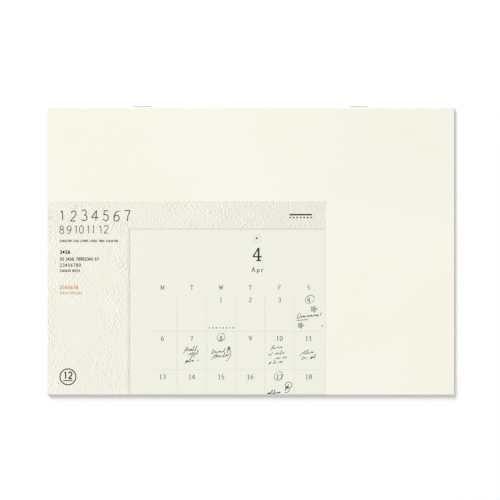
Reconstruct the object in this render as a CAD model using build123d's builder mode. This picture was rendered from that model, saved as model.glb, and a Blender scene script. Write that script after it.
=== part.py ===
# A wall calendar for the A3 sheet: a stack of sheets and a cover, stapled through their
# middle fold and folded to A4, with a printed label sheet lying on the front cover. The cover
# opens about its crease at the fold, and a hole near the free edge hangs the open calendar.
# X runs along the stapled fold, Y from the free edge to the fold, and Z out of the front
# cover. The origin is under the middle, on the surface that the calendar lies on. All sizes
# are in millimetres.
import os

from build123d import *

os.makedirs("parts", exist_ok=True)

# Leaves: the closed calendar is an A4 sheet on its side
page_width = 297.0
page_depth = 210.0
page_thickness = 0.13
inner_sheets = 6  # thirteen openings: twelve months and a year page
leaf_gap = 0.04
leaf_groove = 2.0
hang_hole_radius = 2.5
hang_hole_inset = 9.8

# Cover: one heavier sheet round the leaves, creased where its front swings open
cover_thickness = 0.25
cover_clearance = 0.08
crease_gap = 0.06
crease_rise = 0.03

# Staples: flat wire, crown outside the fold and legs clinched in the middle opening
wire_width = 0.60
wire_thickness = 0.45
staple_width = 13.0
staple_inset = 69.25
staple_inner_bend = 0.08
leg_end_gap = 2.0
leg_clearance = 0.03
clinch_clearance = 0.045
crown_clearance = 0.02

# Month sheet: each opening shows one month over both its pages. Places are across from the
# sheet's left edge and down from its top edge, which is the free edge of the upper page.
columns = 7
rows = 6
grid_left = 20.7
grid_right_margin = 35.5
grid_top = 74.0
grid_bottom_margin = 74.8
line_start = 2.4
grid_line = 0.55
weekday_drop = 67.6
weekday_size = (4.2, 4.8)
date_drop = 8.4
date_size = (2.4, 5.2)
digit_pitch = 3.7
month_drop = 28.5
month_size = (10.6, 15.6)
month_stroke = 2.1
month_name_drop = 46.0
month_name_size = (14.2, 3.5)
fold_margin = 2.0
days_in_month = 31
blank_days = 3
ink_thickness = 0.02

# Label sheet, flush with the cover's left and free edges but for a small inset
label_width = 203.0
label_depth = 141.0
label_thickness = 0.10
label_inset = 0.3

# Label print, left column: measured from the label's left and top edges
text_left = 8.8
heading_lines = (  # each line's top, height, pitch and number of figures
    (7.0, 7.6, 7.9, 7),
    (18.2, 5.8, 4.8, 8),
)
heading_stroke = 1.0
word_gap = 1.0
text_lines = (
    (28.6, 1.3, (6.4, 4.2, 9.6, 5.4, 3.0, 9.0)),
    (36.2, 2.2, (8.2,)),
    (41.4, 2.0, (4.6, 5.2, 11.4, 3.6)),
    (45.8, 2.0, (10.4, 3.8)),
    (50.2, 1.5, (5.2, 8.0)),
)
accent_lines = (
    (62.0, 2.1, (7.4, 5.0)),
    (66.4, 1.4, (6.2, 8.0)),
)
seal_radius = 6.2
seal_line = 0.8
seal_rise = 12.6
corner_bar = (16.4, 0.9)
corner_bar_inset = (18.2, 10.0)
corner_dots = 7
corner_dot_radius = 0.45
corner_dot_pitch = 2.45
corner_dot_drop = 2.3

# Label picture: a month sheet drawn small, cut off by the label's right and free edges
picture_left = 60.5
picture_top = 21.2
picture_shown = 193.2
grid_band = 3.6  # strip along the label's right edge that the pictured grid stays out of
pictured_blank_days = 2
pin_ring = 4.0
pin_line = 0.5
day_ring = 5.4
day_ring_line = 0.45
ringed_days = {4, 8, 17}
note_lines = {4: 3, 7: 3, 8: 2, 10: 3, 11: 2}
note_size = (17.5, 0.7)
note_drop = 12.0
note_pitch = 5.4

# Stack of heights, from the surface under the back cover up to the label
leaf_pitch = page_thickness + leaf_gap
block_half = inner_sheets * leaf_pitch - leaf_gap / 2
cover_inside = block_half + cover_clearance
cover_outside = cover_inside + cover_thickness
mid_z = cover_outside
cover_top = 2 * cover_outside
label_top = cover_top + label_thickness

# Places in plan
crown_reach = crown_clearance + wire_thickness
left_x = -page_width / 2
free_edge_y = -(page_depth + crown_reach) / 2
spine_y = free_edge_y + page_depth
fold_y = spine_y - cover_outside
fold_to_free = fold_y - free_edge_y
hang_hole_y = free_edge_y + hang_hole_inset
crown_y = spine_y + crown_clearance + wire_thickness / 2
leg_offset = (staple_width - wire_thickness) / 2
staple_reach = page_width / 2 - staple_inset
staple_x = (-staple_reach, staple_reach)
label_left = left_x + label_inset
label_free = free_edge_y + label_inset
picture_width = label_width - picture_left
picture_depth = label_depth - picture_top
picture_scale = picture_depth / picture_shown

# Month grid
column_pitch = (page_width - grid_left - grid_right_margin) / columns
row_pitch = (2 * page_depth - grid_top - grid_bottom_margin) / rows
grid_right = page_width - grid_right_margin

# Section plane across the fold, with its centre on the fold's axis
fold_plane = Plane(origin=(left_x, fold_y, mid_z), x_dir=(0, 1, 0), z_dir=(1, 0, 0))

# Print planes. Each has its origin at the sheet's top left corner and Y up the sheet: the
# inside of the front cover faces down while it is closed, and the first page lies below it.
cover_plane = Plane(
    origin=(left_x, free_edge_y, mid_z + cover_inside), x_dir=(1, 0, 0), z_dir=(0, 0, -1)
)
page_plane = Plane(origin=(left_x, spine_y + page_depth, mid_z + block_half))
label_plane = Plane(origin=(label_left, label_free + label_depth, label_top))
picture_plane = Plane(
    origin=(label_left + picture_left, label_free + picture_depth, label_top + ink_thickness)
)


def folded_outline(half, mode=Mode.ADD):
    """Draws a folded stack's section: flat panels that end in a round fold of radius half."""
    Circle(half, mode=mode)
    Rectangle(fold_to_free, 2 * half, align=(Align.MAX, Align.CENTER), mode=mode)


def cut_leg_slots():
    """Cuts the staple legs' slots from the middle opening out through the fold."""
    with BuildSketch(Plane(origin=(0, fold_y, mid_z), x_dir=(1, 0, 0), z_dir=(0, 1, 0))) as slots:
        with Locations(*[(x + side * leg_offset, 0) for x in staple_x for side in (-1, 1)]):
            Rectangle(wire_thickness + 2 * leg_clearance, wire_width + 2 * leg_clearance)
    extrude(slots.sketch, amount=2 * cover_outside, mode=Mode.SUBTRACT)


def cut_hang_hole():
    """Cuts the hole that hangs the opened calendar on its pin."""
    with Locations((0, hang_hole_y, cover_top)):
        Hole(radius=hang_hole_radius)


def bar(x, drop, size, align=(Align.CENTER, Align.CENTER)):
    """Draws a plain bar at x across and drop down the print plane."""
    with Locations((x, -drop)):
        Rectangle(*size, align=align)


def ring(x, drop, radius, line):
    """Draws a ring whose line lies inside its radius."""
    with Locations((x, -drop)):
        Circle(radius)
        Circle(radius - line, mode=Mode.SUBTRACT)


def word_rows(lines):
    """Draws lines of print as rows of plain bars, one bar for each word."""
    for drop, height, words in lines:
        x = text_left
        for word in words:
            bar(x, drop, (word, height), (Align.MIN, Align.MAX))
            x += word + word_gap


def grid_rules(scale, top, bottom, right):
    """Draws the month grid's lines between two drops on the sheet, out to right across it."""
    last = min(bottom, grid_top + rows * row_pitch)
    for column in range(1, columns):
        x = grid_left + column * column_pitch
        if x < right:
            size = (grid_line * scale, (last - top) * scale)
            bar(x * scale, top * scale, size, (Align.CENTER, Align.MAX))
    for row in range(1, rows):
        drop = grid_top + row * row_pitch
        if top < drop < bottom:
            size = ((right - grid_left) * scale, grid_line * scale)
            bar(grid_left * scale, drop * scale, size, (Align.MIN, Align.CENTER))


def day_place(blanks, day):
    """Returns a day's centre on the month sheet, in a month that starts after so many blanks."""
    row, column = divmod(blanks + day - 1, columns)
    return grid_left + (column + 0.5) * column_pitch, grid_top + row * row_pitch + date_drop


def day_marks(scale, blanks, top, bottom, right):
    """Draws a bar for each digit of the dates that fall between two drops, left of right."""
    for day in range(1, days_in_month + 1):
        x, drop = day_place(blanks, day)
        if top < drop < bottom and x < right:
            digits = len(str(day))
            for digit in range(digits):
                shift = (digit - (digits - 1) / 2) * digit_pitch
                bar((x + shift) * scale, drop * scale, [length * scale for length in date_size])


def weekday_marks(scale, right):
    """Draws a bar for each weekday's initial, left of right."""
    for column in range(columns):
        x = grid_left + (column + 0.5) * column_pitch
        if x < right:
            bar(x * scale, weekday_drop * scale, [length * scale for length in weekday_size])


def clip_to_picture():
    """Cuts off what runs past the pictured sheet's field."""
    Rectangle(picture_width, picture_depth, align=(Align.MIN, Align.MAX), mode=Mode.INTERSECT)


def month_name(scale):
    """Draws the bar that stands for the month's name, on the sheet's middle."""
    size = [length * scale for length in month_name_size]
    bar(page_width / 2 * scale, month_name_drop * scale, size)


def leaf_gaps():
    """Draws the gaps between the leaves, each a flat U that wraps the sheets inside it."""
    for step in reversed(range(inner_sheets)):
        folded_outline(step * leaf_pitch + leaf_gap / 2)
        if step:
            folded_outline(step * leaf_pitch - leaf_gap / 2, Mode.SUBTRACT)


# Inner leaves: folded sheets pressed into one block, with a channel in the middle opening
# for the clinched legs. Hairline grooves part the leaves at both ends and at the free edge.
with BuildPart() as page_block:
    with BuildSketch(fold_plane):
        folded_outline(block_half)
        Circle((wire_width**2 + wire_thickness**2) ** 0.5 / 2 + clinch_clearance, mode=Mode.SUBTRACT)
    extrude(amount=page_width)
    for end in (0, page_width - leaf_groove):
        with BuildSketch(fold_plane.offset(end)):
            leaf_gaps()
        extrude(amount=leaf_groove, mode=Mode.SUBTRACT)
    with BuildSketch(fold_plane):
        leaf_gaps()
        with Locations((-fold_to_free, 0)):
            Rectangle(2 * leaf_groove, 2 * block_half, mode=Mode.INTERSECT)
    extrude(amount=page_width, mode=Mode.SUBTRACT)
    cut_leg_slots()
    cut_hang_hole()

# Back cover, with the fold that wraps the leaves up to the front cover's crease
with BuildPart() as cover_back:
    with BuildSketch(fold_plane):
        folded_outline(cover_outside)
        folded_outline(cover_inside, Mode.SUBTRACT)
        Rectangle(fold_to_free, cover_outside, align=(Align.MAX, Align.MIN), mode=Mode.SUBTRACT)
    extrude(amount=page_width)
    cut_leg_slots()
    cut_hang_hole()

# Front cover: the flat panel that swings about the crease, just above the top of the fold
crease_y = fold_y - crease_gap / 2
crease_z = cover_top + crease_rise
print(f"The crease's axis runs along X at y {crease_y:.3f}, z {crease_z:.3f}")
with BuildPart() as cover_front:
    with BuildSketch(fold_plane):
        with Locations((-crease_gap, cover_inside)):
            Rectangle(fold_to_free - crease_gap, cover_thickness, align=(Align.MAX, Align.MIN))
    extrude(amount=page_width)
    cut_hang_hole()


def make_staple(centre_x):
    """Sweeps a staple's wire: clinched leg, leg, crown, leg and clinched leg."""
    leg_end = leg_end_gap / 2
    with BuildPart() as staple:
        with BuildLine(Plane.XY.offset(mid_z)) as wire:
            FilletPolyline(
                (centre_x - leg_end, fold_y),
                (centre_x - leg_offset, fold_y),
                (centre_x - leg_offset, crown_y),
                (centre_x + leg_offset, crown_y),
                (centre_x + leg_offset, fold_y),
                (centre_x + leg_end, fold_y),
                radius=staple_inner_bend + wire_thickness / 2,
            )
        with BuildSketch(Plane(origin=wire.line @ 0, x_dir=(0, 0, 1), z_dir=wire.line % 0)):
            Rectangle(wire_width, wire_thickness)
        sweep()
    return staple.part


# First month, over the inside of the front cover and the first page
with BuildPart() as cover_inside_print:
    with BuildSketch(cover_plane):
        page_end = page_depth - fold_margin
        grid_rules(1, grid_top + line_start, page_end, grid_right)
        day_marks(1, blank_days, grid_top, page_end, grid_right)
        weekday_marks(1, grid_right)
        month_name(1)
        bar(page_width / 2, month_drop, (month_stroke, month_size[1]))
        bar(page_width / 2, month_drop + month_size[1] / 2, (month_size[0] / 2, month_stroke / 2))
    extrude(amount=ink_thickness)

with BuildPart() as first_page_print:
    with BuildSketch(page_plane):
        page_start = page_depth + fold_margin
        grid_rules(1, page_start, 2 * page_depth, grid_right)
        day_marks(1, blank_days, page_start, 2 * page_depth, grid_right)
    extrude(amount=ink_thickness)

# Label: one flat sheet of printed paper
with BuildPart() as label_sheet:
    with BuildSketch(Plane(origin=(label_left, label_free, cover_top))):
        Rectangle(label_width, label_depth, align=Align.MIN)
    extrude(amount=label_thickness)

# Print on the label: heading figures, lines of text, accent lines and seal down its left, and
# a bar over a row of dots at its top right
with BuildPart() as label_heading:
    with BuildSketch(label_plane):
        for top, height, pitch, figures in heading_lines:
            for figure in range(figures):
                x = text_left + figure * pitch
                bar(x, top, (heading_stroke, height), (Align.MIN, Align.MAX))
    extrude(amount=ink_thickness)

with BuildPart() as label_text:
    with BuildSketch(label_plane):
        word_rows(text_lines)
    extrude(amount=ink_thickness)

with BuildPart() as label_accent:
    with BuildSketch(label_plane):
        word_rows(accent_lines)
    extrude(amount=ink_thickness)

with BuildPart() as label_seal:
    with BuildSketch(label_plane):
        ring(text_left + seal_radius, label_depth - seal_rise, seal_radius, seal_line)
    extrude(amount=ink_thickness)

with BuildPart() as label_corner_dots:
    with BuildSketch(label_plane):
        inset_x, inset_y = corner_bar_inset
        bar(label_width - inset_x, inset_y, corner_bar)
        with Locations((label_width - inset_x, -inset_y - corner_dot_drop)):
            with GridLocations(corner_dot_pitch, 0, corner_dots, 1):
                Circle(corner_dot_radius)
    extrude(amount=ink_thickness)

# Pictured month sheet: a field of colour, then its grid and marks
with BuildPart() as picture_field:
    with BuildSketch(Plane(origin=(label_left + picture_left, label_free, label_top))):
        Rectangle(picture_width, picture_depth, align=Align.MIN)
    extrude(amount=ink_thickness)

picture_right = picture_width / picture_scale

with BuildPart() as picture_grid:
    with BuildSketch(picture_plane):
        grid_end = picture_right - grid_band / picture_scale
        grid_rules(picture_scale, grid_top + line_start, picture_shown, grid_end)
    extrude(amount=ink_thickness)

with BuildPart() as picture_weekdays:
    with BuildSketch(picture_plane):
        weekday_marks(picture_scale, picture_right)
        clip_to_picture()
    extrude(amount=ink_thickness)

with BuildPart() as picture_dates:
    with BuildSketch(picture_plane):
        day_marks(picture_scale, pictured_blank_days, grid_top, picture_shown, picture_right)
        clip_to_picture()
    extrude(amount=ink_thickness)

with BuildPart() as picture_month:
    with BuildSketch(picture_plane):
        width, height = [length * picture_scale for length in month_size]
        stroke = month_stroke * picture_scale
        centre, drop = page_width / 2 * picture_scale, month_drop * picture_scale
        stem_x = centre + width / 5
        bar_drop = drop + height / 4
        bar(stem_x, drop, (stroke, height))
        bar(centre, bar_drop, (width, stroke))
        with BuildLine():
            Polyline(
                (stem_x, height / 2 - drop),
                (stem_x, height / 2 - drop - 2 * stroke),
                (centre - width / 2 + 2 * stroke, -bar_drop),
                (centre - width / 2, -bar_drop),
                close=True,
            )
        make_face()
        month_name(picture_scale)
    extrude(amount=ink_thickness)

with BuildPart() as picture_pin:
    with BuildSketch(picture_plane):
        centre, drop = page_width / 2 * picture_scale, hang_hole_inset * picture_scale
        ring(centre, drop, pin_ring * picture_scale, pin_line * picture_scale)
        with Locations((centre, -drop)):
            Circle(pin_line * picture_scale)
    extrude(amount=ink_thickness)

with BuildPart() as picture_rings:
    with BuildSketch(picture_plane):
        for day in ringed_days:
            x, drop = [place * picture_scale for place in day_place(pictured_blank_days, day)]
            ring(x, drop, day_ring * picture_scale, day_ring_line * picture_scale)
        clip_to_picture()
    extrude(amount=ink_thickness)

with BuildPart() as picture_notes:
    with BuildSketch(picture_plane):
        for day, count in note_lines.items():
            x, drop = day_place(pictured_blank_days, day)
            size = [length * picture_scale for length in note_size]
            for line in range(count):
                line_drop = drop + note_drop + line * note_pitch
                bar(x * picture_scale, line_drop * picture_scale, size)
        clip_to_picture()
    extrude(amount=ink_thickness)

pieces = {
    "page_block": page_block.part,
    "cover_back": cover_back.part,
    "cover_front": cover_front.part,
    "staple_left": make_staple(staple_x[0]),
    "staple_right": make_staple(staple_x[1]),
    "cover_inside_print": cover_inside_print.part,
    "first_page_print": first_page_print.part,
    "label_sheet": label_sheet.part,
    "label_heading": label_heading.part,
    "label_text": label_text.part,
    "label_accent": label_accent.part,
    "label_seal": label_seal.part,
    "label_corner_dots": label_corner_dots.part,
    "picture_field": picture_field.part,
    "picture_grid": picture_grid.part,
    "picture_weekdays": picture_weekdays.part,
    "picture_dates": picture_dates.part,
    "picture_month": picture_month.part,
    "picture_pin": picture_pin.part,
    "picture_rings": picture_rings.part,
    "picture_notes": picture_notes.part,
}
for name, piece in pieces.items():
    piece.label = name
    export_step(piece, f"parts/{name}.step")
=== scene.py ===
"""Looks of the wall calendar: its papers, print, pen marks and staples, with floor, light and camera."""

import math
import random

import bmesh
import bpy
from mathutils import Matrix, Vector


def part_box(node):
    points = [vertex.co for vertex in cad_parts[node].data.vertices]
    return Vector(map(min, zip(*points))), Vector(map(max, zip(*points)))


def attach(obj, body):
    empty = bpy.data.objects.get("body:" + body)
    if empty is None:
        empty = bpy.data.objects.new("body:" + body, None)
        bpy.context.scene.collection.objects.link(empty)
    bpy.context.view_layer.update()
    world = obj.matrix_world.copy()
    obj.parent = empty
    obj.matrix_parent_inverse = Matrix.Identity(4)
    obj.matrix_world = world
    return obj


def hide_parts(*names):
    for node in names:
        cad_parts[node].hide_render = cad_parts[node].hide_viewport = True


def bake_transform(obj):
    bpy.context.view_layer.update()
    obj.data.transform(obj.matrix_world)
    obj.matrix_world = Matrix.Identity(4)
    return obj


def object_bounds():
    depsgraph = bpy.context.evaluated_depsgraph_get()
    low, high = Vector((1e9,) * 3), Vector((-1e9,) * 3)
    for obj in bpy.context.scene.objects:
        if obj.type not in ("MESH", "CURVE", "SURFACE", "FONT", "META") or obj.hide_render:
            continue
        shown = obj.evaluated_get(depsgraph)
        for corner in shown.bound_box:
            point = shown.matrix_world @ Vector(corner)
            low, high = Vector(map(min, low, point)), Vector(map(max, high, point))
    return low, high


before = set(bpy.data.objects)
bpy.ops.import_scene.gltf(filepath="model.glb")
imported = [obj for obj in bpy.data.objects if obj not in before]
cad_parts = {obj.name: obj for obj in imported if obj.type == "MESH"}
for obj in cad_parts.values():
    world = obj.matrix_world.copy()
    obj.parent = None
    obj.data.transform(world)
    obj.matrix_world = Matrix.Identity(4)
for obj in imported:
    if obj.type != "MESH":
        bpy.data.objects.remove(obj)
cad_low, cad_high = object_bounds()

MM = 0.001
WELD = 1e-6
rng = random.Random(12)

# Camera: straight above the front cover, as in the photograph
LENS = 100.0
SENSOR = 36.0
PICTURE_SIZE = 500
COVER_WIDTH_PIXELS = 407.0
CAMERA_OVER = Vector((-0.36, 0.22)) * MM

# Light: a broad soft lamp at the top left and an even surround
LAMP_BEARING = math.radians(125.0)
LAMP_HEIGHT = math.radians(33.0)
LAMP_DISTANCE = 14.0
LAMP_SIZE = 6.2
LAMP_LEVEL = 0.508
SURROUND_LEVEL = 0.523
FLOOR_SIZE = 3.0
FLOOR_GAP = 0.02 * MM
FLOOR_PLAIN = (0.24, 0.42)
FLOOR_WHITE = 0.97
FLOOR_GLOW = 0.047

# Month sheet, as in the part: across from its left edge and down from its top edge, in mm
COLUMNS = 7
ROWS = 6
DAYS = 31
GRID_LEFT = 20.7
GRID_RIGHT_MARGIN = 35.5
GRID_TOP = 74.0
GRID_BOTTOM_MARGIN = 74.8
LINE_START = 2.4
GRID_LINE = 0.42
FOLD_MARGIN = 2.0
WEEKDAY_DROP = 67.6
WEEKDAY_HEIGHT = 4.9
DATE_DROP = 8.4
DATE_HEIGHT = 5.3
DATE_PITCH = 0.78
MONTH_DROP = 28.5
MONTH_HEIGHT = 14.9
MONTH_NAME_DROP = 46.6
MONTH_NAME_HEIGHT = 5.2
MONTH_NAME_PITCH = 5.4
MONTH_NAME_SHIFT = 1.0
HEADING_SHIFT = 0.7
HOLE_DROP = 9.8
SHOWN_DEPTH = 193.2
WEEKDAYS = "MTWTFSS"

# Print lies on its sheet as a low film, so far out of it
PRINT_RISE = 0.016 * MM

page_low, page_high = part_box("page_block")
front_low, front_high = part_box("cover_front")
back_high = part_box("cover_back")[1]
label_low, label_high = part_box("label_sheet")
field_low, field_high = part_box("picture_field")
seal_low, seal_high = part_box("label_seal")

page_width = page_high.x - page_low.x
page_depth = back_high.y - page_low.y
sheet_middle = page_width / MM / 2 + HEADING_SHIFT
fold_y = page_high.y - (page_high.z - page_low.z) / 2
picture_scale = (field_high.y - field_low.y) / (SHOWN_DEPTH * MM)
column_pitch = (page_width / MM - GRID_LEFT - GRID_RIGHT_MARGIN) / COLUMNS
row_pitch = (2 * page_depth / MM - GRID_TOP - GRID_BOTTOM_MARGIN) / ROWS


class Value:
    """An output socket, on which +, -, * and abs add Math nodes to its tree."""

    def __init__(self, tree, socket):
        self.tree = tree
        self.socket = socket

    def __add__(self, other):
        return self.tree.maths("ADD", self, other)

    __radd__ = __add__

    def __sub__(self, other):
        return self.tree.maths("SUBTRACT", self, other)

    def __rsub__(self, other):
        return self.tree.maths("SUBTRACT", other, self)

    def __mul__(self, other):
        return self.tree.maths("MULTIPLY", self, other)

    __rmul__ = __mul__

    def __abs__(self):
        return self.tree.maths("ABSOLUTE", self, 0.0)


class Tree:
    """The node tree of a material or of the world."""

    def __init__(self, owner):
        owner.use_nodes = True
        self.owner = owner
        self.nodes = owner.node_tree.nodes
        self.links = owner.node_tree.links
        self.nodes.clear()

    def node(self, kind, settings, sockets, output=0):
        """Adds a node, its settings first, and returns one of its outputs, if it has any."""
        node = self.nodes.new("ShaderNode" + kind)
        for name, value in settings.items():
            setattr(node, name, value)
        for name, value in sockets.items():
            if isinstance(value, Value):
                self.links.new(value.socket, node.inputs[name])
            else:
                node.inputs[name].default_value = value
        return Value(self, node.outputs[output]) if node.outputs else None

    def maths(self, operation, first, second):
        """A Math node's result."""
        return self.node("Math", {"operation": operation}, {0: first, 1: second})

    def place(self):
        """The place on the calendar, in metres."""
        return self.node("TexCoord", {}, {}, "Object")

    def axis(self, place, name):
        """One coordinate of a place."""
        return self.node("SeparateXYZ", {}, {0: place}, name)

    def moved(self, place, across):
        """The place that lies so far across, in metres."""
        return self.node("VectorMath", {"operation": "ADD"}, {0: place, 1: (across, 0.0, 0.0)})

    def stretched(self, place, scale, turn=0.0):
        """Makes a texture's marks longer along an axis, then turns them about Z, in degrees."""
        sockets = {"Vector": place, "Rotation": (0.0, 0.0, math.radians(turn)), "Scale": scale}
        return self.node("Mapping", {"vector_type": "TEXTURE"}, sockets)

    def noise(self, place, scale, detail=3.0, roughness=0.5):
        """Soft noise, centred on 0."""
        sockets = {"Vector": place, "Scale": scale, "Detail": detail, "Roughness": roughness}
        return self.node("TexNoise", {}, sockets) - 0.5

    def ramp(self, value, start, end, low=0.0, high=1.0):
        """Eases from low to high as value goes from start to end."""
        sockets = {"Value": value, "From Min": start, "From Max": end, "To Min": low, "To Max": high}
        return self.node("MapRange", {"interpolation_type": "SMOOTHSTEP"}, sockets)

    def zone(self, coordinate, edge, start, end):
        """Eases from 0 to 1 between two distances past an edge, in mm."""
        return self.ramp(coordinate, edge + start * MM, edge + end * MM)

    def toned(self, colour, level):
        """A colour made lighter or darker by a level that varies over the surface."""
        sockets = {0: colour if isinstance(colour, Value) else colour[:3], "Scale": level}
        return self.node("VectorMath", {"operation": "SCALE"}, sockets)

    def mixed(self, factor, first, second):
        """The first colour where factor is 0, and the second where it is 1."""
        settings = {"data_type": "RGBA"}
        return self.node("Mix", settings, {0: factor, 6: first, 7: second}, 2)

    def surface(self, colour, roughness, height, relief, metallic=0.0, gloss=0.5):
        """Ends a material in a Principled surface whose relief, in metres, follows height."""
        bump = self.node("Bump", {}, {"Height": height, "Distance": relief})
        sockets = {"Base Color": colour, "Roughness": roughness, "Metallic": metallic,
                   "Specular IOR Level": gloss, "Normal": bump}
        shader = self.node("BsdfPrincipled", {}, sockets)
        self.node("OutputMaterial", {}, {"Surface": shader})
        return self.owner


def rgb(red, green, blue):
    """A colour in linear light from its screen values, 0 to 255."""
    levels = [value / 255 for value in (red, green, blue)]
    linear = [level / 12.92 if level <= 0.04045 else ((level + 0.055) / 1.055) ** 2.4 for level in levels]
    return (*linear, 1.0)


def paper_fibres(tree, place):
    """The felted grain of paper: short crossing fibres and a fine tooth."""
    crossing = [
        tree.noise(tree.stretched(place, (1.0, 4.5, 1.0), turn), 1500.0, detail=4.0)
        for turn in (24.0, 81.0, 137.0)
    ]
    tooth = tree.noise(place, 5200.0, detail=2.0)
    return crossing[0] + crossing[1] + crossing[2] + 0.5 * tooth


# Cover: where the painted shade of its round fold ends and is full, in mm over its top face
FOLD_TOP = (0.03, -0.06)


def cover_paper():
    """Cream cover stock: soft clouds, fibres and a tooth, with painted shade on its round top edge and
    towards its upper right corner.
    """
    tree = Tree(bpy.data.materials.new("cover_paper"))
    place = tree.place()
    across = tree.axis(place, "X")
    up = tree.axis(place, "Y")
    clouds = tree.noise(place, 26.0, detail=4.0, roughness=0.6)
    fibres = paper_fibres(tree, place)
    round_fold = tree.ramp(up, fold_y, back_high.y)
    # Painted shade: darker over the round fold, below the cover's top face
    fold_shade = round_fold * tree.zone(tree.axis(place, "Z"), front_high.z, *FOLD_TOP)
    # Painted shade: darker towards the cover's upper right corner
    corner = tree.ramp(across, 0.0, 0.65 * front_high.x) * tree.ramp(up, 0.0, 0.5 * fold_y)
    level = 1.0 + 0.020 * clouds + 0.016 * fibres - 0.22 * fold_shade - 0.022 * corner
    warmth = tree.ramp(tree.noise(place, 9.0, detail=2.0), -0.25, 0.25)
    tint = tree.mixed(warmth, rgb(248, 246, 235), rgb(247, 244, 230))
    roughness = 0.78 + 0.16 * fibres
    return tree.surface(tree.toned(tint, level), roughness, fibres, 0.012 * MM, gloss=0.22)


def page_paper():
    """Smooth cream writing paper, a shade warmer than the cover, with faint edges of leaves."""
    tree = Tree(bpy.data.materials.new("page_paper"))
    place = tree.place()
    clouds = tree.noise(place, 40.0, detail=4.0, roughness=0.6)
    fibres = paper_fibres(tree, place)
    leaves = tree.noise(tree.stretched(place, (50.0, 50.0, 1.0)), 9000.0, detail=1.0)
    level = 0.990 + 0.022 * clouds + 0.014 * fibres + 0.05 * leaves
    paper = tree.toned(rgb(247, 243, 227), level)
    return tree.surface(paper, 0.80 + 0.14 * fibres, fibres, 0.008 * MM, gloss=0.22)


# Printed plaster: how far a stroke's light and shade lie to its sides, and a line's light from its dark
STROKE_REACH = 0.58 * MM
LINE_RELIEF = 1.1 * MM


def trowelled(tree, place, length, turn, scale):
    """Relief of short trowel strokes: the light on their one side less the shade on the other."""
    lit, shaded = [
        tree.noise(tree.stretched(tree.moved(place, side), (1.0, length, 1.0), turn), scale, roughness=0.6)
        for side in (STROKE_REACH, -STROKE_REACH)
    ]
    relief = lit - shaded
    return relief * (0.42 + 1.9 * abs(relief))


def trowel_line(tree, place, side):
    """Long thin lines, moved so far across."""
    along = tree.stretched(tree.moved(place, side), (1.0, 4.0, 1.0), turn=-52.0)
    return tree.ramp(abs(tree.noise(along, 80.0, detail=1.0)), 0.014, 0.003)


def trowel_lines(tree, place):
    """Marks of the trowel's corner, broken up: a dark line with a light one beside it."""
    dark = trowel_line(tree, place, 0.0)
    light = trowel_line(tree, place, LINE_RELIEF)
    broken = tree.ramp(tree.noise(place, 70.0, detail=1.0), 0.02, 0.08)
    return (dark - 0.8 * light) * broken


def plaster(tree, place, slanting):
    """Light and shade of trowelled plaster: short strokes in patches, fine grain, and thin lines.

    The strokes stand upright, or lean over where slanting goes to 1.
    """
    upright = trowelled(tree, place, 3.0, -4.0, 1150.0)
    leaning = trowelled(tree, place, 2.2, -15.0, 1100.0)
    patches = tree.ramp(tree.noise(place, 75.0, detail=3.0, roughness=0.6), -0.14, 0.16, 0.55, 1.30)
    fine = tree.noise(place, 1700.0, detail=3.0, roughness=0.7)
    broad = tree.noise(place, 60.0, detail=3.0)
    strokes = upright * (1.0 - slanting) + leaning * slanting
    return strokes * patches + 0.20 * fine + 0.14 * broad - 0.17 * trowel_lines(tree, place)


# Zones of the label's print: how far past an edge each starts and is full, in mm
SHADOW_LEFT = (-4.2, 0.0)
SHADOW_LEFT_TOP = (2.2, -0.4)
SHADOW_ABOVE = (2.0, 0.9)
SHADOW_ABOVE_LEFT = (-1.8, 0.6)
TOP_STRIP = (-8.0, 2.0)
CALM_LEFT = (3.0, 12.0)
CALM_RIGHT = (-9.0, -28.0)
RIM_LEFT = (1.4, 0.0)
RIM_TOP = (-1.2, 0.0)
MARGIN_RIGHT = (-1.9, -1.0)


def label_paper():
    """Coated label paper printed with a lit, trowelled plaster wall and a sheet's soft shadow on it."""
    tree = Tree(bpy.data.materials.new("label_paper"))
    place = tree.place()
    across = tree.axis(place, "X")
    up = tree.axis(place, "Y")
    beside = tree.zone(across, field_low.x, *SHADOW_LEFT) * tree.zone(up, field_high.y, *SHADOW_LEFT_TOP)
    above = tree.zone(up, field_high.y, *SHADOW_ABOVE) * tree.zone(across, field_low.x, *SHADOW_ABOVE_LEFT)
    top_strip = tree.zone(up, field_high.y, *TOP_STRIP)
    far_side = tree.ramp(across, field_low.x, label_high.x)
    calm = tree.zone(across, label_low.x, *CALM_LEFT) * tree.zone(across, field_low.x, *CALM_RIGHT)
    grain = plaster(tree, place, top_strip)
    depth = 0.80 + 0.22 * top_strip - 0.34 * calm * (1.0 - top_strip)
    level = (1.0 + grain * depth) * (1.0 - 0.19 * beside * beside)
    shaded = level * (1.0 - 0.05 * above) * (1.0 - top_strip * (0.018 + 0.04 * far_side))
    warmth = tree.ramp(tree.noise(place, 45.0, detail=2.0), -0.2, 0.2)
    tint = tree.mixed(warmth, rgb(241, 239, 227), rgb(241, 238, 225))
    fibres = paper_fibres(tree, place)
    return tree.surface(tree.toned(tint, shaded), 0.62 + 0.10 * fibres, fibres, 0.004 * MM, gloss=0.25)


def picture_ink():
    """The pictured month sheet: pale green grey, lighter at its rim and darker in the right margin."""
    tree = Tree(bpy.data.materials.new("picture_ink"))
    place = tree.place()
    across = tree.axis(place, "X")
    up = tree.axis(place, "Y")
    screen = tree.noise(place, 2600.0, detail=1.0)
    clouds = tree.noise(place, 30.0, detail=3.0)
    rim = tree.zone(across, field_low.x, *RIM_LEFT) + tree.zone(up, field_high.y, *RIM_TOP)
    margin = tree.zone(across, field_high.x, *MARGIN_RIGHT)
    level = 1.0 + 0.010 * clouds + 0.012 * screen + 0.022 * rim - 0.018 * margin
    field = tree.toned(rgb(239, 239, 226), level)
    return tree.surface(field, 0.50 + 0.10 * screen, screen, 0.002 * MM, gloss=0.30)


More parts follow.
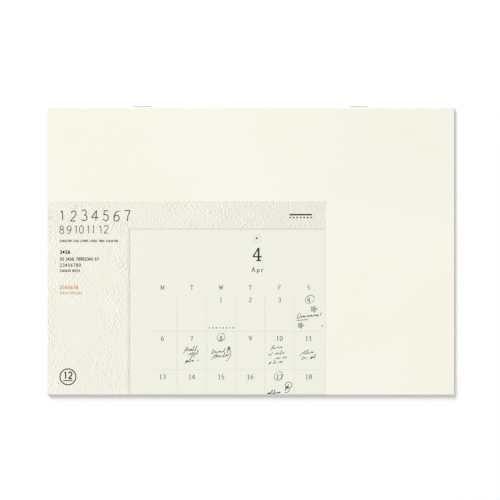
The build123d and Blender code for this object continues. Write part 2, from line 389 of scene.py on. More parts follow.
def ink(name, colour, density=0.22):
    """Printed or drawn ink, thinner where the paper's tooth shows through."""
    tree = Tree(bpy.data.materials.new(name))
    place = tree.place()
    tooth = tree.noise(place, 3800.0, detail=3.0)
    pools = tree.noise(place, 700.0, detail=2.0)
    level = 1.0 + density * tooth + 0.5 * density * pools
    return tree.surface(tree.toned(colour, level), 0.55 + 0.2 * tooth, tooth, 0.002 * MM, gloss=0.20)


def staple_steel():
    """Drawn steel wire: fine lines along the wire, and a dull patch here and there."""
    tree = Tree(bpy.data.materials.new("staple_steel"))
    place = tree.place()
    drawn = tree.noise(tree.stretched(place, (20.0, 1.0, 1.0)), 9000.0, detail=2.0)
    dull = tree.noise(place, 900.0, detail=3.0)
    level = 1.0 + 0.18 * drawn + 0.12 * dull
    roughness = 0.34 + 0.14 * drawn + 0.16 * dull
    return tree.surface(tree.toned(rgb(184, 184, 180), level), roughness, drawn, 0.004 * MM, metallic=1.0)


finishes = {
    "cover_paper": cover_paper(),
    "page_paper": page_paper(),
    "staple_steel": staple_steel(),
    "label_paper": label_paper(),
    "picture_ink": picture_ink(),
    "dark_ink": ink("dark_ink", rgb(36, 35, 30)),
    "grey_ink": ink("grey_ink", rgb(88, 88, 80)),
    "line_ink": ink("line_ink", rgb(223, 223, 211), density=0.10),
    "accent_ink": ink("accent_ink", rgb(208, 136, 86)),
    "pen_ink": ink("pen_ink", rgb(52, 52, 48), density=0.34),
}


def dress(node, finish):
    """Gives a CAD node its finish."""
    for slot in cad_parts[node].material_slots:
        slot.material = finishes[finish]


for node, finish in (
    ("page_block", "page_paper"),
    ("cover_back", "cover_paper"),
    ("staple_left", "staple_steel"),
    ("staple_right", "staple_steel"),
    ("label_sheet", "label_paper"),
    ("picture_field", "picture_ink"),
    ("picture_grid", "line_ink"),
):
    dress(node, finish)


def add_piece(name, mesh, finish):
    """Makes an object of a finished mesh."""
    piece = bpy.data.objects.new(name, mesh)
    mesh.materials.clear()
    mesh.materials.append(finishes[finish])
    bpy.context.collection.objects.link(piece)
    return piece


# Front cover: cuts across its bend, and the angles that count as flat and as a sharp edge
CREASE_STEPS = 12
FLAT_ANGLE = math.radians(1.0)
EDGE_ANGLE = math.radians(40.0)


def make_front_cover():
    """Carries the front cover's card on across the crease, cut across in steps there, in place of the CAD
    node.
    """
    shape = bmesh.new()
    shape.from_mesh(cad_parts["cover_front"].data)
    bmesh.ops.remove_doubles(shape, verts=shape.verts, dist=WELD)
    bmesh.ops.dissolve_limit(shape, angle_limit=FLAT_ANGLE, verts=shape.verts, edges=shape.edges)
    for vert in shape.verts:
        if vert.co.y > front_high.y - WELD:
            vert.co.y = fold_y
    for step in range(CREASE_STEPS):
        bend_y = front_high.y + (fold_y - front_high.y) * step / CREASE_STEPS
        whole = list(shape.verts) + list(shape.edges) + list(shape.faces)
        bmesh.ops.bisect_plane(
            shape, geom=whole, dist=WELD / 10, plane_co=(0.0, bend_y, 0.0), plane_no=(0.0, 1.0, 0.0)
        )
    for edge in shape.edges:
        edge.smooth = edge.calc_face_angle(math.pi) < EDGE_ANGLE
    for face in shape.faces:
        face.smooth = abs(face.normal.z) < 0.5 or face.calc_center_median().y > front_high.y
    mesh = bpy.data.meshes.new("cover_front_sheet")
    shape.to_mesh(mesh)
    shape.free()
    mesh.attributes.remove(mesh.attributes["custom_normal"])
    cover = add_piece("cover_front_sheet", mesh, "cover_paper")
    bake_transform(cover)
    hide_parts("cover_front")


make_front_cover()


class Sheet:
    """A printed sheet: mm across from its left edge and down from its top edge, at some scale."""

    def __init__(self, corner, up, out, scale=1.0):
        self.scale = scale
        across = Vector((1.0, 0.0, 0.0))
        turn = Matrix((across, up, out)).transposed().to_4x4()
        self.matrix = Matrix.Translation(corner) @ turn


label = Sheet((label_low.x, label_high.y, label_high.z), Vector((0, 1, 0)), Vector((0, 0, 1)))
picture = Sheet(
    (field_low.x, field_high.y, field_high.z), Vector((0, 1, 0)), Vector((0, 0, 1)), picture_scale
)
inside = Sheet((page_low.x, page_low.y, front_low.z), Vector((0, -1, 0)), Vector((0, 0, -1)))
first_page = Sheet(
    (page_low.x, page_low.y + 2 * page_depth, page_high.z), Vector((0, 1, 0)), Vector((0, 0, 1))
)


def bow(x, y, across, up, start, end, steps=16):
    """Points along an ellipse, from one angle to another in degrees."""
    angles = [math.radians(start + (end - start) * step / steps) for step in range(steps + 1)]
    return [(x + across * math.cos(angle), y + up * math.sin(angle)) for angle in angles]


def ring(x, y, across, up):
    """Points round a whole ellipse."""
    return bow(x, y, across, up, 90, 450, steps=28)


def bar(x, y, half):
    """A level stroke, such as a serif."""
    return [(x - half, y), (x + half, y)]


# Each figure or letter is 1 high and centred on 0: its strokes, then the serifs that print adds
GLYPHS = {
    "0": ([ring(0, 0.5, 0.26, 0.5)], []),
    "1": ([[(0, 1), (0, 0)], [(0, 1), (-0.17, 0.84)]], [bar(0, 0, 0.17)]),
    "2": ([bow(0, 0.72, 0.25, 0.28, 165, -35) + [(-0.26, 0.02)], [(-0.26, 0.02), (0.27, 0.02)]], []),
    "3": ([bow(-0.01, 0.76, 0.22, 0.24, 150, -90), bow(-0.02, 0.27, 0.27, 0.27, 90, -150)], []),
    "4": (
        [[(0.12, 1), (-0.32, 0.3)], [(-0.32, 0.3), (0.37, 0.3)], [(0.12, 1), (0.12, 0)]],
        [bar(0.12, 0, 0.18)],
    ),
    "5": (
        [[(0.22, 0.97), (-0.17, 0.97)], [(-0.17, 0.97), (-0.2, 0.52)], bow(-0.02, 0.3, 0.27, 0.3, 132, -150)],
        [],
    ),
    "6": ([ring(0, 0.29, 0.26, 0.29), bow(0.14, 0.3, 0.4, 0.68, 80, 180)], []),
    "7": (
        [[(-0.26, 0.97), (0.26, 0.97)], [(0.26, 0.97), (0.05, 0.5), (-0.04, 0)]],
        [[(-0.26, 0.97), (-0.27, 0.8)]],
    ),
    "8": ([ring(0, 0.76, 0.2, 0.24), ring(0, 0.27, 0.26, 0.27)], []),
    "9": ([ring(0, 0.71, 0.26, 0.29), bow(-0.14, 0.7, 0.4, 0.68, -100, 0)], []),
    "M": (
        [[(-0.36, 0), (-0.36, 1)], [(-0.36, 1), (0, 0.12)], [(0, 0.12), (0.36, 1)], [(0.36, 1), (0.36, 0)]],
        [bar(-0.36, 0, 0.13), bar(0.36, 0, 0.13), bar(-0.42, 1, 0.07), bar(0.42, 1, 0.07)],
    ),
    "T": (
        [[(-0.32, 1), (0.32, 1)], [(0, 1), (0, 0)]],
        [bar(0, 0, 0.15), [(-0.32, 1), (-0.34, 0.8)], [(0.32, 1), (0.34, 0.8)]],
    ),
    "W": (
        [[(-0.46, 1), (-0.22, 0)], [(-0.22, 0), (0, 0.92)], [(0, 0.92), (0.22, 0)], [(0.22, 0), (0.46, 1)]],
        [bar(-0.46, 1, 0.12), bar(0.46, 1, 0.12)],
    ),
    "F": (
        [[(-0.18, 1), (-0.18, 0)], [(-0.18, 1), (0.28, 1)], [(-0.18, 0.52), (0.14, 0.52)]],
        [bar(-0.18, 0, 0.15), [(0.28, 1), (0.3, 0.8)]],
    ),
    "S": ([bow(0, 0.74, 0.23, 0.25, 35, 270) + bow(0, 0.25, 0.26, 0.24, 90, -145)], []),
    "A": (
        [[(-0.34, 0), (0, 1)], [(0, 1), (0.34, 0)], bar(0, 0.34, 0.21)],
        [bar(-0.34, 0, 0.12), bar(0.34, 0, 0.12)],
    ),
    "p": ([[(-0.14, 0.6), (-0.14, -0.32)], ring(0.09, 0.3, 0.23, 0.3)], [bar(-0.14, -0.32, 0.13)]),
    "r": (
        [[(-0.2, 0.56), (-0.2, 0)], bow(0.0, 0.34, 0.2, 0.2, 165, 45), [(0.1, 0.52), (0.17, 0.46)]],
        [bar(-0.2, 0, 0.13)],
    ),
    "J": ([[(0.1, 1), (0.1, 0.24)] + bow(-0.08, 0.24, 0.18, 0.24, 0, -150)], [bar(0.1, 1, 0.15)]),
    "a": ([ring(-0.03, 0.18, 0.17, 0.18), bow(-0.02, 0.42, 0.17, 0.2, 150, 0) + [(0.15, 0)]], []),
    "n": (
        [[(-0.17, 0.62), (-0.17, 0)], bow(0.0, 0.4, 0.17, 0.22, 165, 0) + [(0.17, 0)]],
        [bar(-0.17, 0, 0.1), bar(0.17, 0, 0.1)],
    ),
}


def printed(thin, thick, nib_turn=14.0):
    """Half the width of a printed stroke by its direction: upright strokes are thick."""
    slant = math.radians(nib_turn)

    def half_width(along, height):
        turn = abs(math.sin(math.atan2(along[1], along[0]) - slant))
        return height * (thin + (thick - thin) * turn)

    return half_width


def pen(width):
    """A round pen's half width, in mm, for strokes in any direction."""
    return lambda along, height: width / 2


def weighted(points, height, nib):
    """Adds the nib's half width to each of a stroke's points."""
    stroke = []
    for index, (x, y) in enumerate(points):
        before = points[max(index - 1, 0)]
        after = points[min(index + 1, len(points) - 1)]
        stroke.append((x, y, nib((after[0] - before[0], after[1] - before[1]), height)))
    return stroke


def figure(glyph, x, drop, height, nib, serifs=True, lean=0.0, turn=0.0):
    """Strokes of one figure or letter, with its middle at x across and drop down the sheet."""
    strokes, feet = GLYPHS[glyph]
    cosine, sine = math.cos(turn), math.sin(turn)
    made = []
    for points in strokes + (feet if serifs else []):
        placed = []
        for px, py in points:
            sx, sy = (px + lean * (py - 0.5)) * height, (py - 0.5) * height
            placed.append((x + cosine * sx - sine * sy, -drop + sine * sx + cosine * sy))
        made.append(weighted(placed, height, nib))
    return made


def number(text, x, drop, height, nib, pitch, serifs=True):
    """Strokes of a row of figures, centred on x."""
    made = []
    for index, glyph in enumerate(str(text)):
        shift = (index - (len(str(text)) - 1) / 2) * pitch * height
        made += figure(glyph, x + shift, drop, height, nib, serifs)
    return made


def small_type(words, x, top, height, nib, digit_pitch, gap):
    """Strokes of a line of small figures that starts at x, with a gap after each word."""
    made = []
    for word in words:
        for glyph in word:
            made += figure(glyph, x + digit_pitch / 2, top + height / 2, height, nib, serifs=False)
            x += digit_pitch
        x += gap
    return made


def trim(shape, low, high):
    """Cuts off what runs past a printed field's edges, and closes the cuts."""
    for corner, towards in ((low, -1.0), (high, 1.0)):
        for outwards in (Vector((towards, 0.0, 0.0)), Vector((0.0, towards, 0.0))):
            whole = list(shape.verts) + list(shape.edges) + list(shape.faces)
            cut = bmesh.ops.bisect_plane(
                shape, geom=whole, dist=WELD / 10, plane_co=corner, plane_no=outwards, clear_outer=True
            )
            edges = [item for item in cut["geom_cut"] if isinstance(item, bmesh.types.BMEdge)]
            rims = [edge for edge in edges if edge.is_boundary]
            bmesh.ops.holes_fill(shape, edges=rims, sides=0)


def lay(name, mesh, finish, body, node):
    """Makes a piece of a print's mesh, which moves with a body and may replace a node."""
    piece = add_piece(name, mesh, finish)
    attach(piece, body)
    if node:
        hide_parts(node)


# A stroke whose ends are this close, in mm, is closed
CLOSED = 1e-4


def ink_piece(name, sheet, strokes, finish, body, node=None, smooth=False, field=None):
    """Turns strokes on a sheet into low rounded lines of ink, and lays them on it."""
    curve = bpy.data.curves.new(name, "CURVE")
    curve.dimensions = "3D"
    curve.bevel_depth = 1.0
    curve.bevel_resolution = 1
    curve.use_fill_caps = True
    curve.resolution_u = 5
    widest = max(half for stroke in strokes for _, _, half in stroke)
    for stroke in strokes:
        closed = math.dist(stroke[0][:2], stroke[-1][:2]) < CLOSED and len(stroke) > 3
        points = stroke[:-1] if closed else stroke
        spline = curve.splines.new("NURBS" if smooth else "POLY")
        spline.points.add(len(points) - 1)
        for point, (x, y, half) in zip(spline.points, points):
            point.co = (x, y, 0.0, 1.0)
            point.radius = half
        if smooth:
            spline.order_u = 3
            spline.use_endpoint_u = not closed
        spline.use_cyclic_u = closed
    holder = bpy.data.objects.new(name + "_strokes", curve)
    bpy.context.collection.objects.link(holder)
    scene_state = bpy.context.evaluated_depsgraph_get()
    mesh = bpy.data.meshes.new_from_object(holder.evaluated_get(scene_state))
    bpy.data.objects.remove(holder)
    size = MM * sheet.scale
    flat = Matrix.Diagonal((size, size, PRINT_RISE / widest, 1.0))
    shape = bmesh.new()
    shape.from_mesh(mesh)
    bmesh.ops.remove_doubles(shape, verts=shape.verts, dist=WELD)
    bmesh.ops.transform(shape, matrix=sheet.matrix @ flat, verts=shape.verts)
    if field:
        trim(shape, *field)
    bmesh.ops.recalc_face_normals(shape, faces=shape.faces)
    shape.to_mesh(mesh)
    shape.free()
    mesh.name = name
    lay(name, mesh, finish, body, node)


def solid_piece(name, sheet, make, finish, body, node=None):
    """Lays a flat solid shape, made by bmesh operators in mm on the sheet, as a film of ink."""
    shape = bmesh.new()
    make(shape)
    size = MM * sheet.scale
    flat = Matrix.Diagonal((size, size, PRINT_RISE, 1.0))
    bmesh.ops.transform(shape, matrix=sheet.matrix @ flat, verts=shape.verts)
    bmesh.ops.recalc_face_normals(shape, faces=shape.faces)
    mesh = bpy.data.meshes.new(name)
    shape.to_mesh(mesh)
    shape.free()
    lay(name, mesh, finish, body, node)


def rule(shape, x, drop, width, height):
    """Adds a ruled line or block of ink, 1 high, centred at x across and drop down."""
    place = Matrix.Translation((x, -drop, 0.5)) @ Matrix.Diagonal((width, height, 1.0, 1.0))
    bmesh.ops.create_cube(shape, size=1.0, matrix=place)


def dot(shape, x, drop, radius):
    """Adds a round dot of ink."""
    place = Matrix.Translation((x, -drop, 0.5))
    bmesh.ops.create_cone(
        shape, cap_ends=True, segments=28, radius1=radius, radius2=0.94 * radius, depth=1.0, matrix=place
    )


def day_place(blanks, day):
    """A day's centre on the month sheet, in a month that starts after so many blanks."""
    row, column = divmod(blanks + day - 1, COLUMNS)
    return GRID_LEFT + (column + 0.5) * column_pitch, GRID_TOP + row * row_pitch + DATE_DROP


# Printed faces: half the widths of their thin and thick strokes, for a height of 1
small_face = printed(0.040, 0.072)
date_face = printed(0.043, 0.080)
name_face = printed(0.046, 0.092, nib_turn=32.0)
month_face = printed(0.029, 0.077, nib_turn=30.0)


def dates(blanks, top, bottom, right):
    """Strokes of the dates that fall between two drops and left of right."""
    made = []
    for day in range(1, DAYS + 1):
        x, drop = day_place(blanks, day)
        if top < drop < bottom and x < right:
            made += number(day, x, drop, DATE_HEIGHT, date_face, DATE_PITCH)
    return made


def weekday_row(right):
    """Strokes of the weekdays' initials, left of right."""
    made = []
    for column, initial in enumerate(WEEKDAYS):
        x = GRID_LEFT + (column + 0.5) * column_pitch
        if x < right:
            made += figure(initial, x, WEEKDAY_DROP, WEEKDAY_HEIGHT, small_face)
    return made


def month_heading(month, name):
    """Strokes of the month's number, and of its name below."""
    made = figure(month, sheet_middle, MONTH_DROP, MONTH_HEIGHT, month_face)
    names = []
    for index, letter in enumerate(name):
        shift = (index - (len(name) - 1) / 2) * MONTH_NAME_PITCH + MONTH_NAME_SHIFT
        names += figure(letter, sheet_middle + shift, MONTH_NAME_DROP, MONTH_NAME_HEIGHT, name_face)
    return made, names


def ruled_month(top, bottom, right):
    """Returns a maker of the month grid's lines between two drops."""
    last = min(bottom, GRID_TOP + ROWS * row_pitch)

    def make(shape):
        for column in range(1, COLUMNS):
            x = GRID_LEFT + column * column_pitch
            rule(shape, x, (top + last) / 2, GRID_LINE, last - top)
        for row in range(1, ROWS):
            drop = GRID_TOP + row * row_pitch
            if top < drop < bottom:
                rule(shape, (GRID_LEFT + right) / 2, drop, right - GRID_LEFT, GRID_LINE)

    return make


# Inner spread: the first month, over the inside of the cover and the first page
FIRST_BLANKS = 3
grid_right = GRID_LEFT + COLUMNS * column_pitch
page_end = page_depth / MM - FOLD_MARGIN
page_start = page_depth / MM + FOLD_MARGIN
sheet_depth = 2 * page_depth / MM
first_number, first_name = month_heading("1", "Jan")
ink_piece("first_month_dates_above", inside, dates(FIRST_BLANKS, GRID_TOP, page_end, grid_right),
          "grey_ink", "front_cover", "cover_inside_print")
ink_piece("first_month_weekdays", inside, weekday_row(grid_right), "grey_ink", "front_cover")
ink_piece("first_month_number", inside, first_number, "dark_ink", "front_cover")
ink_piece("first_month_name", inside, first_name, "grey_ink", "front_cover")
solid_piece("first_month_grid_above", inside, ruled_month(GRID_TOP + LINE_START, page_end, grid_right),
            "line_ink", "front_cover")
ink_piece("first_month_dates_below", first_page, dates(FIRST_BLANKS, page_start, sheet_depth, grid_right),
          "grey_ink", "leaves", "first_page_print")
solid_piece("first_month_grid_below", first_page, ruled_month(page_start, sheet_depth, grid_right),
            "line_ink", "leaves")

# Pictured month on the label
PICTURE_BLANKS = 2
picture_right = (field_high.x - field_low.x) / MM / picture_scale
pictured_number, pictured_name = month_heading("4", "Apr")
ink_piece("pictured_dates", picture, dates(PICTURE_BLANKS, GRID_TOP, SHOWN_DEPTH, picture_right),
          "grey_ink", "front_cover", "picture_dates")
ink_piece("pictured_weekdays", picture, weekday_row(picture_right),
          "grey_ink", "front_cover", "picture_weekdays")
ink_piece("pictured_month_number", picture, pictured_number, "dark_ink", "front_cover", "picture_month")
ink_piece("pictured_month_name", picture, pictured_name, "grey_ink", "front_cover")

# The pictured sheet's hanging hole, with the pin's head a little off its middle
PIN_RING = 4.1
PIN_LINE = 0.8
PIN_HEAD = 1.25
PIN_OFFSET = 0.4
pin_ring = ring(sheet_middle + PIN_OFFSET, -HOLE_DROP - PIN_OFFSET, PIN_RING, PIN_RING)
ink_piece("pictured_hole", picture, [weighted(pin_ring, 1.0, pen(PIN_LINE))],
          "line_ink", "front_cover", "picture_pin")
solid_piece("pictured_pin", picture, lambda shape: dot(shape, sheet_middle - PIN_OFFSET, HOLE_DROP, PIN_HEAD),
            "grey_ink", "front_cover")

# Pen rings round some days: each is its shift and rise from the date, its half width and half
# height in mm, its lean, where it starts and how far it turns in degrees, and its tail's steps in mm
PEN = pen(0.70)
RING_WIDTH = 0.52
RING_PRESS = 0.28
RING_WAVE = 0.05
RING_GROWTH = 0.03
RINGED_DAYS = {
    4: (1.4, 0.6, 5.2, 4.9, 0.22, 12, -300, ((1.9, -2.9), (1.3, 1.4))),
    8: (0.0, 1.3, 4.5, 4.7, 0.06, 46, 382, ((0.3, 0.4),)),
    17: (-0.8, 1.0, 5.0, 5.0, 0.08, 46, 382, ((0.4, 0.6),)),
}


def ring_pen(along, height):
    """A pen that presses harder on its way to the right, under a date, than on its way back."""
    return RING_WIDTH / 2 * (1.0 + RING_PRESS * along[0] / math.hypot(*along))


def pen_ring(x, drop, shift, rise, across, up, lean, start, sweep, tail):
    """One turn of the pen round a date, and the tail that it ends in."""
    made = []
    steps = 17
    for step in range(steps + 1):
        angle = math.radians(start + sweep * step / steps)
        grow = 1.0 + RING_WAVE * math.sin(2 * angle) + RING_GROWTH * step / steps
        px, py = across * grow * math.cos(angle), up * grow * math.sin(angle)
        made.append((x + shift + px + lean * py, py + rise - drop))
    for right, higher in tail:
        made.append((made[-1][0] + right, made[-1][1] + higher))
    return weighted(made, 1.0, ring_pen)


ink_piece(
    "pen_rings", picture,
    [pen_ring(*day_place(PICTURE_BLANKS, day), *shape) for day, shape in RINGED_DAYS.items()],
    "pen_ink", "front_cover", "picture_rings", smooth=True,
)

# Jottings: each day's pen width, then its lines. A line is its shift from the day's middle, its
# drop below the date, its width, the height of its small marks, and its marks, in mm on the
# pictured sheet.
JOTTINGS = {
    4: (0.62, ((-1.1, 20.3, 25.4, 2.5, "cnzvnzvnz"),)),
    7: (0.57, (
        (-1.5, 14.9, 14.9, 2.8, "fnzll"), (1.9, 19.4, 11.0, 2.6, "zqql"), (0.5, 27.8, 16.7, 2.8, "blz -"),
    )),
    8: (0.54, ((-3.5, 17.2, 16.1, 2.5, "lnvzvl"), (0.0, 22.2, 22.2, 2.8, "/ozvlzg"))),
    10: (0.48, (
        (-3.3, 12.2, 13.4, 2.3, "fvnz"), (-4.2, 19.2, 19.4, 2.3, "v/ znlz"),
        (2.1, 23.9, 12.1, 2.2, "zv nz"), (-4.4, 29.6, 16.4, 2.4, "b lv zn"),
    )),
    11: (0.53, ((-2.2, 18.3, 15.5, 2.5, "/llvz"), (-0.2, 24.2, 16.8, 2.6, "ov bl"))),
    17: (0.66, ((-6.9, 20.4, 15.5, 2.6, "bllvz"),)),
}
# Marks that the pen strings together, each in a cell 1 wide, the small ones 1 high: zigzags,
# humps and turns, tall loops, a stem with a bow, a long slash, blots and tails. None is a letter.
PEN_MARKS = {
    "z": ((0.0, 0.0), (0.3, 1.2), (0.5, -0.1), (0.8, 1.1), (0.9, 0.1)),
    "n": ((0.0, 0.1), (0.2, 1.1), (0.6, 1.0), (0.8, 0.0)),
    "v": ((0.0, 0.9), (0.4, -0.2), (0.9, 0.9)),
    "o": ((0.6, 1.3), (0.0, 1.0), (0.1, -0.2), (0.8, 0.0), (0.8, 1.2), (0.2, 1.3)),
    "l": ((0.1, 0.0), (0.7, 1.6), (0.5, 2.2), (0.3, -0.2), (0.9, 0.2)),
    "f": ((0.0, -0.8), (0.3, 1.2), (0.5, 2.1), (1.0, 1.7), (0.7, 0.8), (0.2, 0.7), (0.9, 0.1)),
    "c": ((1.0, 1.8), (0.6, 2.5), (0.0, 1.6), (0.0, 0.0), (0.6, -0.3), (1.0, 0.6)),
    "/": ((0.0, -0.9), (0.9, 1.5)),
    "b": ((0.0, -0.4), (0.3, 1.6), (0.3, -0.5), (0.6, 1.6), (0.6, -0.4), (1.0, 1.2)),
    "q": ((0.1, 1.1), (0.7, 1.1), (0.4, -1.2), (0.2, -0.9), (0.9, 0.6)),
    "g": ((0.2, 1.2), (0.9, 1.4), (1.0, 0.0), (0.4, -1.9), (-0.3, -1.6)),
    "-": ((0.0, 0.5), (0.9, 0.6)),
    " ": (),
}
JOTTING_LEAN = 0.30
JOTTING_RISE = 0.10
JOTTING_HEIGHTS = (0.88, 1.12)


def jotting(x, drop, width, height, marks, nib):
    """A line of quick pen marks that only looks like writing; a gap lifts the pen."""
    strokes = [[]]
    cell = width / len(marks)
    for index, mark in enumerate(marks):
        if mark == " ":
            strokes.append([])
        for px, py in PEN_MARKS[mark]:
            mx = x - width / 2 + cell * (index + px)
            my = height * py * rng.uniform(*JOTTING_HEIGHTS)
            strokes[-1].append((mx + JOTTING_LEAN * my, my - drop + JOTTING_RISE * (mx - x)))
    return [weighted(points, 1.0, nib) for points in strokes]


# Doodles by the notes. A flower is its day, its shift from the day's middle, its drop below the
# date, and its size, in mm. A hatching ends in its width, its height and how often the pen turns,
# the balloon in its two half widths, and a line has a shift and a drop for each of its points.
FLOWERS = ((4, 6.0, 10.7, 3.8), (4, -9.5, 30.0, 3.4))
PETALS = 5
PETAL_DEPTH = 0.28
HEART = 0.2
HATCHINGS = ((8, 9.3, 11.6, 3.6, 11.0, 4), (17, 8.9, 12.5, 4.2, 8.0, 5))
BALLOON = (17, 10.8, 9.8, 3.9, 3.6)
PEN_LINES = (
    (4, ((-14.2, 24.2), (-0.8, 23.0))),
    (4, ((13.6, 18.4), (15.0, 14.6))),
    (4, ((15.6, 32.0), (16.4, 29.4))),
    (17, ((12.2, 14.4), (11.4, 16.8), (9.4, 18.4), (5.8, 18.8))),
)


def beside_day(day, shift, below):
    """A place on the pictured sheet by its shift and drop from a day's date."""
    x, drop = day_place(PICTURE_BLANKS, day)
    return x + shift, drop + below


def pen_flower(x, drop, size):
    """A small doodle of a flower with a dot in it."""
    steps = 8 * PETALS
    petals = []
    for step in range(steps + 1):
        angle = math.tau * step / steps
        reach = size * (1.0 - PETAL_DEPTH + PETAL_DEPTH * math.cos(PETALS * angle))
        petals.append((x + reach * math.cos(angle), -drop + reach * math.sin(angle)))
    heart = ring(x, -drop, HEART * size, HEART * size)
    return [weighted(petals, 1.0, PEN), weighted(heart, 1.0, PEN)]


def pen_hatching(x, drop, width, height, turns):
    """A few close zigzags of the pen."""
    points = [
        (x + width * (step / turns - 0.5), -drop + height * (0.5 if step % 2 else -0.5))
        for step in range(turns + 1)
    ]
    return [weighted(points, 1.0, PEN)]


notes = []
for day, (pen_width, lines) in JOTTINGS.items():
    x, drop = day_place(PICTURE_BLANKS, day)
    for shift, below, width, height, marks in lines:
        notes += jotting(x + shift, drop + below, width, height, marks, pen(pen_width))
ink_piece("pen_jottings", picture, notes, "pen_ink", "front_cover", "picture_notes", smooth=True,
          field=(field_low, field_high))

doodles = []
for day, shift, below, size in FLOWERS:
    doodles += pen_flower(*beside_day(day, shift, below), size)
for day, shift, below, width, height, turns in HATCHINGS:
    doodles += pen_hatching(*beside_day(day, shift, below), width, height, turns)
for day, places in PEN_LINES:
    corners = [beside_day(day, shift, below) for shift, below in places]
    doodles += [weighted([(x, -drop) for x, drop in corners], 1.0, PEN)]
balloon_day, balloon_shift, balloon_below, balloon_across, balloon_up = BALLOON
balloon_x, balloon_drop = beside_day(balloon_day, balloon_shift, balloon_below)
doodles += [weighted(ring(balloon_x, -balloon_drop, balloon_across, balloon_up), 1.0, PEN)]
ink_piece("pen_doodles", picture, doodles, "pen_ink", "front_cover", smooth=True,
          field=(field_low, field_high))

# A row of small ticks at the foot of the first day
TICKS = 8
TICK_SHIFT = 0.5
TICK_DROP = 32.8
TICK_PITCH = 4.0
TICK_WIDTH = 1.3
TICK_HEIGHTS = (1.1, 1.7, 1.7)


def day_ticks(shape):
    """Adds the row of ticks."""
    middle, drop = beside_day(1, TICK_SHIFT, TICK_DROP)
    for index in range(TICKS):
        x = middle + (index - (TICKS - 1) / 2) * TICK_PITCH
        rule(shape, x, drop, TICK_WIDTH, TICK_HEIGHTS[index % len(TICK_HEIGHTS)])


solid_piece("pictured_ticks", picture, day_ticks, "grey_ink", "front_cover")

# Heading: the year's twelve months in hand-drawn figures, in two lines. Each line is its
# months, drop, height, pitch of the numbers, pitch of a number's figures, and pen.
HEADING = (
    (("1", "2", "3", "4", "5", "6", "7"), 10.8, 7.5, 7.9, 0.0, 0.68),
    (("8", "9", "10", "11", "12"), 21.0, 5.7, 5.3, 3.7, 0.53),
)
TEXT_LEFT = 8.8
HEADING_SIDE = 0.3
HEADING_SIZES = (0.92, 1.05)
HEADING_DRIFT = (-0.3, 0.3)
HEADING_LEAN = (-0.05, 0.1)
HEADING_TURN = (-0.05, 0.05)
heading = []
for months, drop, height, pitch, figure_pitch, width in HEADING:
    x = TEXT_LEFT + HEADING_SIDE * height
    for month in months:
        for index, glyph in enumerate(month):
            x += figure_pitch if index else 0.0
            size = height * rng.uniform(*HEADING_SIZES)
            heading += figure(glyph, x, drop + rng.uniform(*HEADING_DRIFT), size, pen(width), serifs=False,
                              lean=rng.uniform(*HEADING_LEAN), turn=rng.uniform(*HEADING_TURN))
        x += pitch
ink_piece("heading_months", label, heading, "dark_ink", "front_cover", "label_heading")

# Small type: plain figures in place of words. Each line is its top, height, digit pitch, word
# gap, its words and how bold they are.
SMALL_TYPE = (
    (28.5, 1.5, 1.13, 0.86, ("23456789", "2345", "67890", "23456", "7890", "23456789"), 0.34),
    (36.2, 2.3, 2.0, 0.0, ("3456",), 0.64),
    (41.4, 2.1, 1.60, 1.1, ("20", "3456", "78902345", "67"), 0.46),
    (45.8, 2.2, 1.98, 0.0, ("23456789",), 0.44),
    (50.2, 1.6, 1.18, 0.84, ("2345678", "90234"), 0.36),
)
ACCENT_TYPE = (
    (62.0, 2.2, 1.96, 0.0, ("2345678",), 0.48),
    (66.4, 1.6, 1.20, 0.80, ("234567", "8902345"), 0.26),
)


def type_lines(lines):
    """Strokes of lines of small type down the label's left column."""
    made = []
    for top, height, digit_pitch, gap, words, width in lines:
        made += small_type(words, TEXT_LEFT, top, height, pen(width), digit_pitch, gap)
    return made


ink_piece("small_type", label, type_lines(SMALL_TYPE), "dark_ink", "front_cover", "label_text")
ink_piece("accent_type", label, type_lines(ACCENT_TYPE), "accent_ink", "front_cover", "label_accent")

# Seal: a ring with the number of months over a short line
seal_x = ((seal_low.x + seal_high.x) / 2 - label_low.x) / MM
seal_drop = (label_high.y - (seal_low.y + seal_high.y) / 2) / MM
seal_radius = (seal_high.x - seal_low.x) / MM / 2
SEAL_LINE = 0.8
SEAL_NUMBER = 12
SEAL_NUMBER_RISE = 1.1
SEAL_NUMBER_HEIGHT = 4.8
SEAL_NUMBER_PITCH = 0.70
SEAL_NUMBER_LINE = 0.95
SEAL_RULE_DROP = 2.7
SEAL_RULE_HALF = 3.4
SEAL_RULE_LINE = 0.7
ring_radius = seal_radius - SEAL_LINE / 2
seal = [weighted(ring(seal_x, -seal_drop, ring_radius, ring_radius), 1.0, pen(SEAL_LINE))]
seal += number(SEAL_NUMBER, seal_x, seal_drop - SEAL_NUMBER_RISE, SEAL_NUMBER_HEIGHT, pen(SEAL_NUMBER_LINE),
               SEAL_NUMBER_PITCH, serifs=False)
seal += [weighted(bar(seal_x, -seal_drop - SEAL_RULE_DROP, SEAL_RULE_HALF), 1.0, pen(SEAL_RULE_LINE))]
ink_piece("seal_print", label, seal, "dark_ink", "front_cover", "label_seal")

# Corner mark: a bar over a row of dots
mark_low, mark_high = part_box("label_corner_dots")
MARK_BAR = 1.05
MARK_DOT = 0.60
MARK_DOTS = 7


def corner_mark(shape):
    """Adds the bar and its row of dots."""
    width = (mark_high.x - mark_low.x) / MM
    middle = ((mark_low.x + mark_high.x) / 2 - label_low.x) / MM
    bar_drop = (label_high.y - mark_high.y) / MM + MARK_BAR / 2
    dots_drop = (label_high.y - mark_low.y) / MM - MARK_DOT
    rule(shape, middle, bar_drop, width, MARK_BAR)
    for index in range(MARK_DOTS):
        dot(shape, middle + (index / (MARK_DOTS - 1) - 0.5) * (width - 2 * MARK_DOT), dots_drop, MARK_DOT)


solid_piece("corner_print", label, corner_mark, "dark_ink", "front_cover", "label_corner_dots")


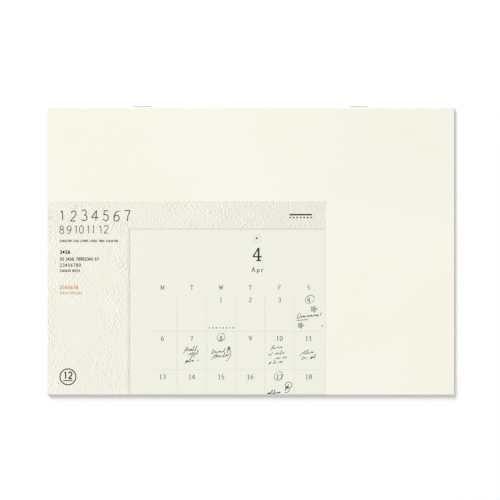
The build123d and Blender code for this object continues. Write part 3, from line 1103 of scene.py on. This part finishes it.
def set_camera():
    """Looks straight down on the cover, as far off as makes the cover its size in the picture."""
    camera = bpy.data.cameras.new("camera")
    camera.lens = LENS
    camera.sensor_width = SENSOR
    seen_width = page_width * PICTURE_SIZE / COVER_WIDTH_PIXELS
    distance = seen_width * LENS / SENSOR
    holder = bpy.data.objects.new("camera", camera)
    holder.location = (CAMERA_OVER.x, CAMERA_OVER.y, front_high.z + distance)
    bpy.context.collection.objects.link(holder)
    bpy.context.scene.camera = holder


def set_lamp():
    """A square soft lamp at the top left, whose power gives LAMP_LEVEL on a level white sheet."""
    lamp = bpy.data.lights.new("soft_lamp", "AREA")
    lamp.shape = "SQUARE"
    lamp.size = LAMP_SIZE
    lamp.energy = LAMP_LEVEL * math.pi**2 * LAMP_DISTANCE**2 / math.sin(LAMP_HEIGHT)
    towards = Vector((
        math.cos(LAMP_BEARING) * math.cos(LAMP_HEIGHT),
        math.sin(LAMP_BEARING) * math.cos(LAMP_HEIGHT),
        math.sin(LAMP_HEIGHT),
    ))
    holder = bpy.data.objects.new("soft_lamp", lamp)
    holder.location = towards * LAMP_DISTANCE
    holder.rotation_euler = towards.to_track_quat("Z", "Y").to_euler()
    bpy.context.collection.objects.link(holder)


def seen_directly(tree):
    """1 for rays from the camera, a mirror or glass, and 0 for rays that light a surface."""
    path = [tree.node("LightPath", {}, {}, name) for name in
            ("Is Camera Ray", "Is Glossy Ray", "Is Transmission Ray")]
    return tree.maths("MAXIMUM", tree.maths("MAXIMUM", path[0], path[1]), path[2])


def set_surround():
    """An even surround that lights the calendar softly and is white where it is seen."""
    world = bpy.data.worlds.new("surround")
    bpy.context.scene.world = world
    tree = Tree(world)
    white = (1.0, 1.0, 1.0, 1.0)
    light = tree.node("Background", {}, {"Color": white, "Strength": SURROUND_LEVEL})
    backdrop = tree.node("Background", {}, {"Color": white, "Strength": 1.0})
    shown = tree.node("MixShader", {}, {0: seen_directly(tree), 1: light, 2: backdrop})
    tree.node("OutputWorld", {}, {"Surface": shown})


def set_floor():
    """A plain white floor that keeps the calendar's shadow and turns to even white further out."""
    shape = bmesh.new()
    bmesh.ops.create_grid(shape, x_segments=1, y_segments=1, size=FLOOR_SIZE / 2)
    bmesh.ops.translate(shape, verts=shape.verts, vec=(0.0, 0.0, cad_low.z - FLOOR_GAP))
    mesh = bpy.data.meshes.new("floor")
    shape.to_mesh(mesh)
    shape.free()
    floor = bpy.data.objects.new("floor", mesh)
    bpy.context.collection.objects.link(floor)
    tree = Tree(bpy.data.materials.new("white_floor"))
    distance = tree.node("VectorMath", {"operation": "LENGTH"}, {0: tree.place()}, "Value")
    outside = tree.ramp(distance, FLOOR_PLAIN[0], FLOOR_PLAIN[1])
    seen = seen_directly(tree)
    white = (FLOOR_WHITE, FLOOR_WHITE, FLOOR_WHITE, 1.0)
    matt = tree.node("BsdfDiffuse", {}, {"Color": white})
    glow = tree.node("Emission", {}, {"Strength": FLOOR_GLOW * seen})
    near = tree.node("AddShader", {}, {0: matt, 1: glow})
    far = tree.node("Emission", {}, {"Strength": 1.0})
    shown = tree.node("MixShader", {}, {0: outside * seen, 1: near, 2: far})
    tree.node("OutputMaterial", {}, {"Surface": shown})
    mesh.materials.append(tree.owner)


set_camera()
set_lamp()
set_surround()
set_floor()
bpy.context.scene.view_settings.view_transform = "Standard"
